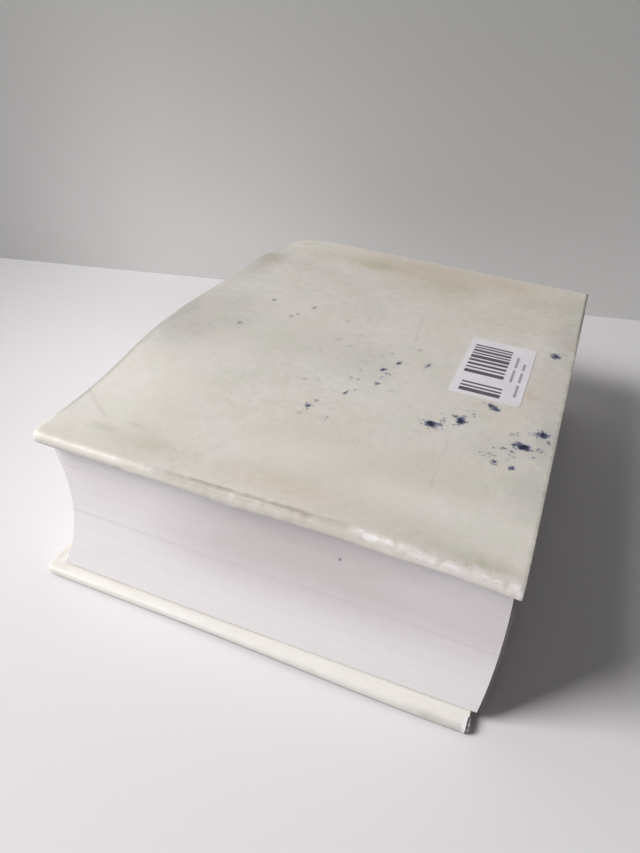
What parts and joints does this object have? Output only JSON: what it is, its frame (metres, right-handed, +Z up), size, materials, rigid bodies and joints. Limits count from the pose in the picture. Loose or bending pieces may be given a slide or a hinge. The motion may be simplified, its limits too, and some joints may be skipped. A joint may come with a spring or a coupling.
{
  "type": "thick book in wrapped board covers",
  "caption": "Very thick worn book in off-white wrapped boards, lying back cover up, with a hollow fore edge, a bowed back cover and both covers hinged.",
  "frame": {"origin": "on the surface the book lies on, under the middle of the closed book", "axes": "+X from the fore edge to the spine, +Y along the spine from the tail to the head, +Z up out of the back cover"},
  "size_m": [0.1742, 0.24, 0.0781],
  "materials": {
    "leaves": "matte",
    "white_covering": "satin",
    "spine_covering": "satin",
    "grey_board": "matte",
    "endpaper": "matte",
    "lining_cloth": "matte",
    "label_paper": "satin"
  },
  "bodies": {
    "leaves": {"text_block": "leaves", "spine_lining": "lining_cloth", "spine_strip": "spine_covering"},
    "front_cover": {"front_board": "grey_board", "front_covering": "white_covering", "front_hinge_cloth": "lining_cloth", "front_endpaper": "endpaper"},
    "back_cover": {"back_board": "grey_board", "back_covering": "white_covering", "back_hinge_cloth": "lining_cloth", "back_endpaper": "endpaper", "label": "label_paper"}
  },
  "joints": [
    {"name": "back_cover_hinge", "type": "hinge", "parent": "leaves", "child": "back_cover", "pos_m": [0.0871, 0, 0.0654], "axis": [0, 1, 0], "range_deg": [0, 180]},
    {"name": "front_cover_hinge", "type": "hinge", "parent": "leaves", "child": "front_cover", "pos_m": [0.0857, 0, 0.0046], "axis": [0, -1, 0], "range_deg": [0, 180]}
  ]
}
